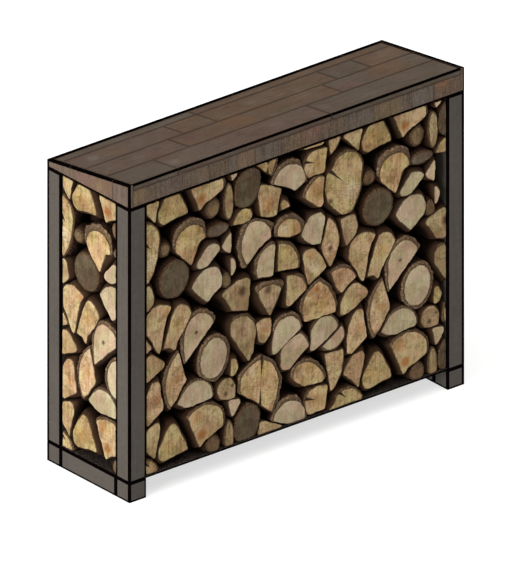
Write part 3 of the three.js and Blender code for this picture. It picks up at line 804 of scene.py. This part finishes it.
def add_firrings():
    depth = (FRONT + FASCIA_THICKNESS + GAP, BACK - FASCIA_THICKNESS - GAP)
    for k, middle in enumerate(FIRRING_MIDDLES, 1):
        block(f"firring_{k}_timber", (middle - FIRRING_WIDTH / 2, middle + FIRRING_WIDTH / 2), depth,
              POST_TOP, lambda y: under_deck(y) - GAP, "y", BOARD["ash"],
              [f"firring_{k}"], set())


# Log outlines. A point is its place across and up, and whether the side after it is bark.

def arc_points(p, q, bulge):
    """Points from p up to q on an arc that stands bulge times the chord outside the line p-q, and
    the arc's centre."""
    chord = math.dist(p, q)
    height = bulge * chord
    radius = (chord * chord / 4 + height * height) / (2 * height)
    out_x, out_y = (q[1] - p[1]) / chord, (p[0] - q[0]) / chord
    inwards = radius - height
    centre = ((p[0] + q[0]) / 2 - out_x * inwards, (p[1] + q[1]) / 2 - out_y * inwards)
    half_turn = math.acos(inwards / radius)
    count = max(2, math.ceil(2 * half_turn / ARC_STEP))
    start = math.atan2(p[1] - centre[1], p[0] - centre[0])
    angles = [start + 2 * half_turn * k / count for k in range(count)]
    points = [(centre[0] + radius * math.cos(a), centre[1] + radius * math.sin(a), True) for a in angles]
    return points, centre


def log_outline(log):
    """The outline of a log's sawn end, and the place of its pith."""
    if "ellipse" in log:
        across, up, half_width, half_height, turn = log["ellipse"]
        cos, sin = math.cos(math.radians(turn)), math.sin(math.radians(turn))
        outline = []
        for k in range(math.ceil(2 * math.pi / ARC_STEP)):
            x, y = half_width * math.cos(k * ARC_STEP), half_height * math.sin(k * ARC_STEP)
            outline.append((across + x * cos - y * sin, up + x * sin + y * cos, True))
        return outline, (across + 0.12 * half_width, up - 0.1 * half_height)
    outline, pith = [], None
    for k, corner in enumerate(log["corners"]):
        after = log["corners"][(k + 1) % len(log["corners"])]
        if len(corner) == 3:
            points, centre = arc_points(corner[:2], after[:2], corner[2])
            outline += points
            pith = pith or centre
        else:
            outline.append((*corner, False))
    return outline, pith


def sides(outline):
    """The outward direction of the side before each point."""
    found = []
    for k, q in enumerate(outline):
        p = outline[k - 1]
        length = math.dist(p[:2], q[:2])
        found.append(((q[1] - p[1]) / length, (p[0] - q[0]) / length))
    return found


def grown(outline, reach):
    """The outline moved outwards by reach, with its sharpest corners held back."""
    normals = sides(outline)
    moved = []
    for k, (x, y, bark) in enumerate(outline):
        before, after = normals[k], normals[(k + 1) % len(outline)]
        across, up = before[0] + after[0], before[1] + after[1]
        mitre = 1 / (1 + max(-0.5, before[0] * after[0] + before[1] * after[1]))
        scale = reach * min(mitre, SHARPEST_CORNER / math.hypot(across, up))
        moved.append((x + across * scale, y + up * scale, bark))
    return moved


def cut_by(outline, normal, distance):
    """What is left of the outline on the near side of a line."""
    def height(point):
        return normal[0] * point[0] + normal[1] * point[1] - distance

    kept = []
    for k, q in enumerate(outline):
        p = outline[k - 1]
        if (height(p) <= 0) != (height(q) <= 0):
            part = height(p) / (height(p) - height(q))
            bark = p[2] and height(p) > 0
            kept.append((p[0] + part * (q[0] - p[0]), p[1] + part * (q[1] - p[1]), bark))
        if height(q) <= 0:
            kept.append(q)
    return kept


def line_between(one, other):
    """How far two outlines are apart, and the line midway between them."""
    normals = sides(one) + [(-x, -y) for x, y in sides(other)]
    best = None
    for nx, ny in normals:
        furthest = max(nx * x + ny * y for x, y, _ in one)
        nearest = min(nx * x + ny * y for x, y, _ in other)
        if best is None or nearest - furthest > best[0]:
            best = (nearest - furthest, (nx, ny), (nearest + furthest) / 2)
    return best


def extent(outline, axis):
    values = [point[axis] for point in outline]
    return min(values), max(values)


def area(outline):
    return sum(outline[k - 1][0] * q[1] - outline[k - 1][1] * q[0] for k, q in enumerate(outline)) / 2


def middle(outline):
    """The centroid of an outline."""
    across = up = 0
    for k, q in enumerate(outline):
        p = outline[k - 1]
        part = p[0] * q[1] - p[1] * q[0]
        across += (p[0] + q[0]) * part
        up += (p[1] + q[1]) * part
    return across / (6 * area(outline)), up / (6 * area(outline))


def logs_inside(opening, shift):
    """Every copy of a log that reaches into the opening, at its place."""
    copies = []
    for log in BUNDLE:
        outline, pith = log_outline(log)
        for across in range(-2, 2):
            for up in range(-1, 2):
                dx, dy = across * BUNDLE_WIDTH - shift, up * BUNDLE_HEIGHT
                moved = [(x + dx, y + dy, bark) for x, y, bark in outline]
                reaches = all(extent(moved, axis)[1] > span[0] and extent(moved, axis)[0] < span[1]
                              for axis, span in enumerate(opening))
                if reaches:
                    copies.append({
                        "row": min(max(log["row"] + up * ROWS_PER_BUNDLE, 1), ROWS),
                        "log": log,
                        "wood": moved,
                        "pith": pith and (pith[0] + dx, pith[1] + dy),
                        "moved": (dx, dy),
                    })
    return copies


def stacked_logs(opening, shift=0):
    """The logs in an opening, each with its sawn outline and the space that its bark may fill, which
    reaches at most to the middle between two logs."""
    logs = logs_inside(opening, shift)
    widest = max(log["log"]["bark"] for log in logs) + BARK_ROOM
    stacked = []
    for log in logs:
        space = grown(log["wood"], max(BARK_REACH, log["log"]["bark"] + BARK_ROOM))
        for other in logs:
            if other is log:
                continue
            apart, normal, distance = line_between(log["wood"], other["wood"])
            if apart <= 2 * SHARPEST_CORNER * widest:
                space = cut_by(space, normal, distance - GAP / 2)
        wood = log["wood"]
        for axis, (low, high) in enumerate(opening):
            normal = (1 - axis, axis)
            wood, space = [cut_by(cut_by(line, normal, high), [-c for c in normal], -low)
                           for line in (wood, space)]
        if len(wood) < 3 or len(space) < 3:
            continue
        spans = [high - low for low, high in (extent(space, 0), extent(space, 1))]
        if min(spans) >= SMALLEST_WIDTH and area(space) >= SMALLEST_AREA:
            stacked.append({**log, "wood": wood, "space": space})
    return stacked


# Log meshes

def scatter(count):
    """A number from 0 to 1 that looks random and is always the same for the same count."""
    wide = math.sin(count * 12.9898) * 43758.5453
    return wide - math.floor(wide)


def walked(outline):
    """Points at even steps round an outline."""
    lengths = [math.dist(q[:2], outline[(k + 1) % len(outline)][:2]) for k, q in enumerate(outline)]
    count = max(FEWEST_POINTS, round(sum(lengths) / POINT_SPACING))
    step = sum(lengths) / count
    points, side, passed = [], 0, 0
    for k in range(count):
        while passed + lengths[side] < k * step and side < len(outline) - 1:
            passed += lengths[side]
            side += 1
        p, q = outline[side], outline[(side + 1) % len(outline)]
        part = (k * step - passed) / lengths[side]
        points.append((p[0] + part * (q[0] - p[0]), p[1] + part * (q[1] - p[1]), p[2]))
    return points


def eased(values, times=1):
    """Values round a ring, each drawn towards its neighbours."""
    for _ in range(times):
        count = len(values)
        values = [(values[k - 1] + 2 * values[k] + values[(k + 1) % count]) / 4 for k in range(count)]
    return values


def reach_towards(outline, centre, angle):
    """How far the outline is from the centre in a direction."""
    dx, dy = math.cos(angle), math.sin(angle)
    furthest = 0
    for k, q in enumerate(outline):
        p = outline[k - 1]
        ex, ey = q[0] - p[0], q[1] - p[1]
        across = dx * ey - dy * ex
        if abs(across) < 1e-9:
            continue
        px, py = p[0] - centre[0], p[1] - centre[1]
        distance = (px * ey - py * ex) / across
        part = (px * dy - py * dx) / across
        if -1e-6 <= part <= 1 + 1e-6:
            furthest = max(furthest, distance)
    return furthest


def uneven(x, y, seed, waves):
    """Soft noise at a place: waves are how long they are and how high."""
    length, height = waves
    return noise.noise(Vector((x / length, y / length, seed))) * height


def log_profile(log, seed):
    """For each point round a log: its direction from the middle, how far the sawn wood, the bark and
    the log's fullest section reach that way, and whether the side there is bark."""
    wood = walked(log["wood"])
    centre = middle(log["wood"])
    xs, ys = eased([p[0] for p in wood]), eased([p[1] for p in wood])
    angles = [math.atan2(y - centre[1], x - centre[0]) for x, y in zip(xs, ys)]
    barks = [p[2] for p in wood]
    thickness = [log["log"]["bark"] if bark else SPLIT_EDGE for bark in barks]
    rows = []
    for angle, x, y, thick, bark in zip(angles, xs, ys, eased(thickness, 2), barks):
        wobble = uneven(x, y, seed, BROAD_WOBBLE) + uneven(x, y, seed, FINE_WOBBLE) - WOBBLE_MIDDLE
        ragged = 1 + uneven(x, y, seed + 3, (FINE_WOBBLE[0], RAGGED_BARK))
        full = reach_towards(log["space"], centre, angle)
        outer = min(math.dist((x, y), centre) + wobble + thick * ragged, full - 0.2)
        inner = min(math.dist((x, y), centre) + wobble, outer - 0.4)
        rows.append((angle, inner, outer, full, bark))
    return centre, rows


def log_end(profile, face, inward, seed, cracked, bark_rim):
    """The rings of one end, from the middle of the cap out to the fullest section. A ring is a list
    of points, each across, up, depth, the share of the way to the cap's rim, and how much painted shade a
    crack puts there.
    Past the rim that first share goes on to bark_rim, which is higher for thicker bark."""
    centre, rows = profile
    rings = []

    def ring(reach, depth, rim):
        points = []
        for k, row in enumerate(rows):
            far = reach(row)
            x, y = centre[0] + far * math.cos(row[0]), centre[1] + far * math.sin(row[0])
            # A crack sinks the cap there, and painted shade darkens it by its share.
            crack = rim * cracked.get(k, 0) if rim <= 1 else 0
            lift = uneven(x, y, seed, CAP_WAVES) if rim < 1 else 0
            drop = depth(row) + lift + CRACK_DEPTH * crack
            points.append((x, y, face + inward * drop, rim, min(1, CRACK_SHADE * crack)))
        rings.append(points)

    for share in CAP_RINGS:
        ring(lambda row, s=share: row[1] * s, lambda row: CAP_DEPTH, share)
    ring(lambda row: row[1], lambda row: RIM_DEPTH, 1)
    ring(lambda row: row[2], lambda row: BARK_DEPTH if row[4] else SPLIT_DEPTH, bark_rim)
    for behind, share in SWELLING:
        ring(lambda row, s=share: row[2] + (row[3] - row[2]) * s - HOLLOW_DEPTH * rough_side(row, s, seed),
             lambda row, b=behind: b + SWELLING_START, bark_rim)
    return rings


def nearest_row(rows, direction):
    """The number of the row whose direction from the middle is nearest to the one given."""
    return min(range(len(rows)), key=lambda k: 1 - math.cos(rows[k][0] - direction))


def rough_side(row, depth, seed):
    """How far a log's side is hollowed at a place, from 0 to 1."""
    turn = Vector((math.cos(row[0]) * 2.2, math.sin(row[0]) * 2.2, seed + depth * 1.7))
    return 0.5 + 0.5 * noise.noise(turn)


def add_log(name, log, depth, both_ends, place, nodes, count):
    """A log from its far or hidden end, at depth 0, out to the face that the outline is drawn on.
    Its count settles all that looks random about it."""
    near = depth - END_RECESS_LEAST - END_RECESS_SPREAD * scatter(count)
    far = END_RECESS_LEAST + END_RECESS_SPREAD * scatter(count + 0.5)
    profile = log_profile(log, count * 3.7)
    centre, rows = profile
    size = len(rows)
    cracked = {}
    for direction in log["log"]["cracks"]:
        k = nearest_row(rows, math.radians(direction))
        cracked.update({(k - 1) % size: CRACK_FLARE, k: 1, (k + 1) % size: CRACK_FLARE})

    bark_rim = 1 + min(1, (log["log"]["bark"] / THICK_BARK) ** 2)
    rings = log_end(profile, near, -1, count * 5.3, cracked, bark_rim)
    halfway = len(rings)
    if both_ends:
        rings += log_end(profile, far, 1, count * 7.1, cracked, bark_rim)[::-1]
    else:
        hidden = [(x, y, 0, 1, 0) for x, y, *_ in rings[-1]]
        rings += [hidden, [(centre[0] + (x - centre[0]) * 0.3, centre[1] + (y - centre[1]) * 0.3, 0, 1, 0)
                           for x, y, *_ in hidden]]

    tops = [(*centre, near - CAP_DEPTH, 0, 0), (*centre, far + CAP_DEPTH if both_ends else 0, 0, 0)]
    points = [tops[0]] + [point for ring in rings for point in ring] + [tops[1]]
    caps = len(CAP_RINGS) + 1
    faces = []
    for k in range(size):
        after = (k + 1) % size
        faces.append(([0, 1 + k, 1 + after], 0))
        last = 1 + (len(rings) - 1) * size
        faces.append(([last + k, len(points) - 1, last + after], 0))
        for level in range(len(rings) - 1):
            a, b = 1 + level * size, 1 + (level + 1) * size
            on_cap = level < caps - 1 or (level >= len(rings) - caps if both_ends else level == halfway)
            side = 1 if rows[k][4] else 2
            faces.append(([a + k, b + k, b + after, a + after], 0 if on_cap else side))

    along, up, out, origin = place
    placed = [origin + along * x + up * y + out * z for x, y, z, _, _ in points]
    piece = add_piece(name, placed, faces, [SAWN_END, BARK, SPLIT_SIDE], nodes)
    pith = log["pith"] or (centre[0] + FAR_PITH * math.cos(count), centre[1] + FAR_PITH * math.sin(count))
    # How far each point lies behind the nearer end; the bark and split side darken with it as painted shade
    behind = [min(near - z, z - far) if both_ends else near - z for _, _, z, _, _ in points]
    mesh = piece.data
    add_attribute(mesh, "grain", "FLOAT_VECTOR", [((x - pith[0]) * MM, (y - pith[1]) * MM, b * MM)
                                                  for (x, y, *_), b in zip(points, behind)])
    add_attribute(mesh, "rim", "FLOAT", [rim for _, _, _, rim, _ in points])
    code, grain_shown = TONES[log["log"]["tone"]]
    add_attribute(mesh, "tone", "FLOAT_COLOR", [(*linear(code)[:3], grain_shown)] * len(points))
    # The crack attribute is the share of painted shade in each crack.
    add_attribute(mesh, "crack", "FLOAT", [crack for *_, crack in points])
    dx, dy = log["moved"]
    add_marks(mesh, [(code, (across + dx - pith[0], up + dy - pith[1], 0), radius)
                     for code, across, up, radius in log["log"]["marks"]])
    smooth = [number != 0 for _, number in faces]
    mesh.polygons.foreach_set("use_smooth", smooth)
    return piece


def node_for(prefix, place, log, depth):
    """The solid that stands for a log: of those in its row, the one whose box holds it best."""
    along, up, out, origin = place
    x, y = middle(log["wood"])
    spot = (origin + along * x + up * y + out * depth / 2) * MM

    def outside(node):
        low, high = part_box(node)
        return sum(max(a - s, s - b, 0) for a, s, b in zip(low, spot, high)), (high - low).length

    return min((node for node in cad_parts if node.startswith(prefix)), key=outside)


def add_bundle(name, opening, depth, both_ends, place, shift=0, rows_joined=1):
    counts = {}
    for count, log in enumerate(stacked_logs(opening, shift), 1):
        row = math.ceil(log["row"] / rows_joined)
        node = node_for(f"{name}_row_{row}", place, log, depth)
        counts[row] = counts.get(row, 0) + 1
        singular = name.removesuffix("s") + ("" if name == "logs" else "_log")
        add_log(f"{singular}_{row}_{counts[row]:02d}", log, depth, both_ends, place, [node], count)


def add_firewood():
    upright = (FOOT_HEIGHT + FLOOR_THICKNESS + GAP, POST_TOP - STACK_GAP)
    up = Vector((0, 0, 1))
    between_posts = [(SECTION + STACK_GAP, LENGTH - SECTION - STACK_GAP), upright]
    add_bundle("logs", between_posts, DEPTH, True,
               (Vector((1, 0, 0)), up, Vector((0, -1, 0)), Vector((LEFT, BACK, 0))))
    end_frame = [(SECTION + STACK_GAP, DEPTH - SECTION - STACK_GAP), upright]
    thickness = SECTION - GAP
    add_bundle("left_end", end_frame, thickness, False,
               (Vector((0, -1, 0)), up, Vector((-1, 0, 0)), Vector((LEFT + thickness, BACK, 0))),
               rows_joined=2)
    add_bundle("right_end", end_frame, thickness, False,
               (Vector((0, 1, 0)), up, Vector((1, 0, 0)), Vector((RIGHT - thickness, FRONT, 0))),
               shift=RIGHT_END_SHIFT, rows_joined=2)


# Camera and light

VIEW_AZIMUTH = math.radians(39.4)
VIEW_ELEVATION = math.radians(25.7)
METRES_PER_PIXEL = 0.002769
PHOTO_WIDTH, PHOTO_HEIGHT = 512, 575
FOOT_PIXEL = (129.5, 503.5)
CAMERA_DISTANCE = 4

FLOOR_GLOW = 0.65
FLOOR_REACH = 30
SKY_STRENGTH = 0.3
KEY_STRENGTH = 4.15
OVERHEAD_STRENGTH = 2.36


def add_camera():
    """An orthographic camera that puts the near foot's lowest corner where the photograph has it."""
    turn, tilt = VIEW_AZIMUTH, VIEW_ELEVATION
    right = Vector((math.cos(turn), -math.sin(turn), 0))
    up = Vector((math.sin(turn) * math.sin(tilt), math.cos(turn) * math.sin(tilt), math.cos(tilt)))
    back = right.cross(up)
    foot = Vector((LEFT * MM, FRONT * MM, 0))
    centre = foot + right * (PHOTO_WIDTH / 2 - FOOT_PIXEL[0]) * METRES_PER_PIXEL
    centre += up * (FOOT_PIXEL[1] - PHOTO_HEIGHT / 2) * METRES_PER_PIXEL
    data = bpy.data.cameras.new("camera")
    data.type = "ORTHO"
    data.ortho_scale = PHOTO_HEIGHT * METRES_PER_PIXEL
    camera = bpy.data.objects.new("camera", data)
    camera.matrix_world = Matrix.Translation(centre + back * CAMERA_DISTANCE) @ Matrix(
        (right, up, back)).transposed().to_4x4()
    bpy.context.scene.collection.objects.link(camera)
    bpy.context.scene.camera = camera


def add_light(name, towards, spread, strength):
    """A broad soft light that comes from a direction and is as strong everywhere."""
    data = bpy.data.lights.new(name, "SUN")
    data.angle = math.radians(spread)
    data.energy = strength
    lamp = bpy.data.objects.new(name, data)
    lamp.rotation_euler = Vector(towards).to_track_quat("Z", "Y").to_euler()
    bpy.context.scene.collection.objects.link(lamp)


def add_studio():
    """A pale floor and soft light, stronger from the left so that the end is brighter."""
    n = Nodes("studio_floor", 0.9)
    tint = n.noise(n.position(), 2, 2)
    material = n.finish(n.mix(tint, linear("a9a9a8"), linear("acacab")))
    n.shader.inputs["Emission Color"].default_value = (1, 1, 1, 1)
    n.shader.inputs["Emission Strength"].default_value = FLOOR_GLOW
    corners = [(x * FLOOR_REACH, y * FLOOR_REACH, 0) for x, y in ((-1, -1), (1, -1), (1, 1), (-1, 1))]
    mesh = bpy.data.meshes.new("studio_floor")
    mesh.from_pydata(corners, [], [(0, 1, 2, 3)])
    mesh.materials.append(material)
    floor = bpy.data.objects.new("studio_floor", mesh)
    bpy.context.scene.collection.objects.link(floor)

    world = bpy.data.worlds.new("studio")
    world.use_nodes = True
    world.node_tree.nodes["Background"].inputs["Color"].default_value = (1, 1, 1, 1)
    world.node_tree.nodes["Background"].inputs["Strength"].default_value = SKY_STRENGTH
    bpy.context.scene.world = world
    add_light("key_left", (-1, -0.08, 0.35), 40, KEY_STRENGTH)
    add_light("overhead", (0, -0.15, 1), 70, OVERHEAD_STRENGTH)
    bpy.context.scene.view_settings.view_transform = "Standard"


add_frame()
add_floor()
add_deck()
add_fascias()
add_firrings()
add_firewood()
add_camera()
add_studio()
